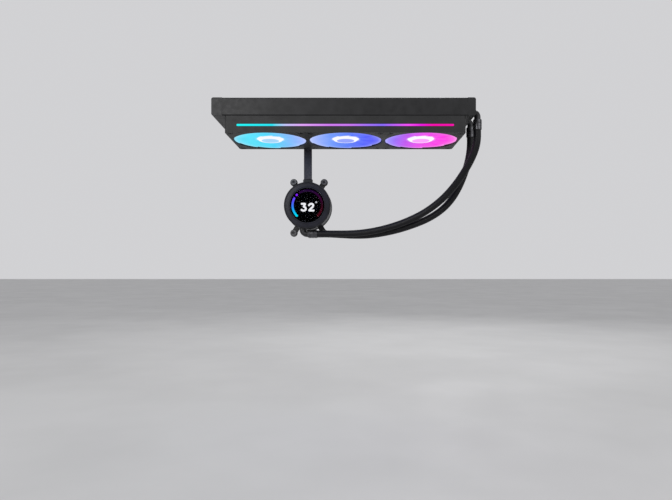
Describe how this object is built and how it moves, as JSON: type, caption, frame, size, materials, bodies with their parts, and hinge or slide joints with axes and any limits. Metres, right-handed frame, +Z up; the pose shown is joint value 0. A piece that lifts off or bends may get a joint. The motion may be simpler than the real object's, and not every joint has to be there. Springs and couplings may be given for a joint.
{
  "type": "liquid cooling radiator",
  "caption": "Flat radiator over a shared frame of lit fans, joined by sleeved hoses to a round pump head with a dial display, socket bracket and thumb nuts.",
  "frame": {"origin": "centre of the middle roof bolt pattern, on the radiator's top face", "axes": "+X along the radiator to its hose end, +Y to the rear, away from the display, +Z up, out of the top face"},
  "size_m": [0.412, 0.1905, 0.2032],
  "materials": {
    "coated_aluminium": "satin black coat",
    "bare_aluminium": "brazed, dull",
    "fin_coat": "thin black coat",
    "steel": "zinc plated",
    "black_screw": "black oxide",
    "dark_fitting": "satin black",
    "ferrule_metal": "anodised, satin",
    "hose_sleeve": "fine braided sleeve over rubber",
    "frame_plastic": "fine moulded grain",
    "light_diffuser": "milky, lit from behind",
    "rotor_cyan": "milky translucent, lit from the hub",
    "rotor_blue": "milky translucent, lit from the hub",
    "rotor_magenta": "milky translucent, lit from the hub",
    "ferrite": "sintered, matte",
    "board": "solder mask",
    "copper": "milled copper",
    "winding": "enamelled copper wire",
    "sleeve_brass": "sintered bronze",
    "soft_rubber": "matte",
    "shell_plastic": "soft satin",
    "bezel_plastic": "satin gloss",
    "dark_glass": "gloss, lit dial behind",
    "dark_plastic": "plain moulded",
    "ribbon_jacket": "smooth flat jacket",
    "ceramic": "polished ceramic",
    "nut_metal": "knurled, dark nickel",
    "bracket_coat": "black coated sheet steel"
  },
  "bodies": {
    "cooler": {"left_tank": "coated_aluminium", "port_tank": "coated_aluminium", "header_plates": "bare_aluminium", "water_tubes": "bare_aluminium", "fins": "fin_coat", "front_rail": "coated_aluminium", "rear_rail": "coated_aluminium", "fill_plug": "steel", "radiator_elbows": "dark_fitting", "radiator_ferrules": "ferrule_metal", "hose_front": "hose_sleeve", "hose_rear": "hose_sleeve", "fan_frame": "frame_plastic", "light_bar": "light_diffuser", "light_bar_board": "board", "corner_pads": "soft_rubber", "fan_screws": "black_screw", "bearing_sleeves": "sleeve_brass", "fan_stators": "steel", "fan_windings": "winding", "hub_light_boards": "board", "frame_socket": "dark_plastic", "power_inlet": "dark_plastic", "link_cable": "ribbon_jacket", "link_plugs": "dark_plastic", "pump_shell": "shell_plastic", "bezel_ring": "bezel_plastic", "display_glass": "dark_glass", "display_panel": "dark_plastic", "control_board": "board", "head_socket": "dark_plastic", "pump_stator": "steel", "pump_windings": "winding", "rotor_can": "dark_plastic", "impeller_pin": "ceramic", "pump_housing": "dark_plastic", "plate_gasket": "soft_rubber", "cold_plate": "copper", "plate_screws": "steel", "mounting_bracket": "bracket_coat", "board_posts": "black_screw"},
    "left_fan": {"rotor_left": "rotor_cyan", "shaft_left": "steel", "magnet_left": "ferrite"},
    "middle_fan": {"rotor_middle": "rotor_blue", "shaft_middle": "steel", "magnet_middle": "ferrite"},
    "right_fan": {"rotor_right": "rotor_magenta", "shaft_right": "steel", "magnet_right": "ferrite"},
    "pump_rotor": {"impeller": "dark_plastic"},
    "nut_top_left": {"thumb_nut_top_left": "nut_metal"},
    "nut_top_right": {"thumb_nut_top_right": "nut_metal"},
    "nut_low_left": {"thumb_nut_low_left": "nut_metal"},
    "nut_low_right": {"thumb_nut_low_right": "nut_metal"},
    "front_elbow": {"pump_elbow_front": "dark_fitting", "pump_ferrule_front": "ferrule_metal"},
    "rear_elbow": {"pump_elbow_rear": "dark_fitting", "pump_ferrule_rear": "ferrule_metal"}
  },
  "joints": [
    {"name": "left_fan_spin", "type": "hinge", "parent": "cooler", "child": "left_fan", "pos_m": [-0.12, 0, -0.04], "axis": [0, 0, 1], "continuous": true},
    {"name": "middle_fan_spin", "type": "hinge", "parent": "cooler", "child": "middle_fan", "pos_m": [0, 0, -0.04], "axis": [0, 0, 1], "continuous": true},
    {"name": "right_fan_spin", "type": "hinge", "parent": "cooler", "child": "right_fan", "pos_m": [0.12, 0, -0.04], "axis": [0, 0, 1], "continuous": true},
    {"name": "pump_spin", "type": "hinge", "parent": "cooler", "child": "pump_rotor", "pos_m": [-0.066, 0.08, -0.147], "axis": [0, 1, 0], "continuous": true},
    {"name": "nut_top_left_turn", "type": "hinge", "parent": "cooler", "child": "nut_top_left", "pos_m": [-0.093, 0.102, -0.102], "axis": [0, -1, 0], "range_deg": [0, 1800]},
    {"name": "nut_top_right_turn", "type": "hinge", "parent": "cooler", "child": "nut_top_right", "pos_m": [-0.039, 0.102, -0.102], "axis": [0, -1, 0], "range_deg": [0, 1800]},
    {"name": "nut_low_left_turn", "type": "hinge", "parent": "cooler", "child": "nut_low_left", "pos_m": [-0.093, 0.102, -0.192], "axis": [0, -1, 0], "range_deg": [0, 1800]},
    {"name": "nut_low_right_turn", "type": "hinge", "parent": "cooler", "child": "nut_low_right", "pos_m": [-0.039, 0.102, -0.192], "axis": [0, -1, 0], "range_deg": [0, 1800]},
    {"name": "front_elbow_swivel", "type": "hinge", "parent": "cooler", "child": "front_elbow", "pos_m": [-0.075, 0.075, -0.195], "axis": [0, 0, -1], "range_deg": [0, 20], "deforming": ["hose_front"]},
    {"name": "rear_elbow_swivel", "type": "hinge", "parent": "cooler", "child": "rear_elbow", "pos_m": [-0.075, 0.0905, -0.195], "axis": [0, 0, -1], "range_deg": [0, 20], "deforming": ["hose_rear"]}
  ],
  "couplings": [
    {"joint": "rear_elbow_swivel", "follows": "front_elbow_swivel", "ratio": 1}
  ]
}
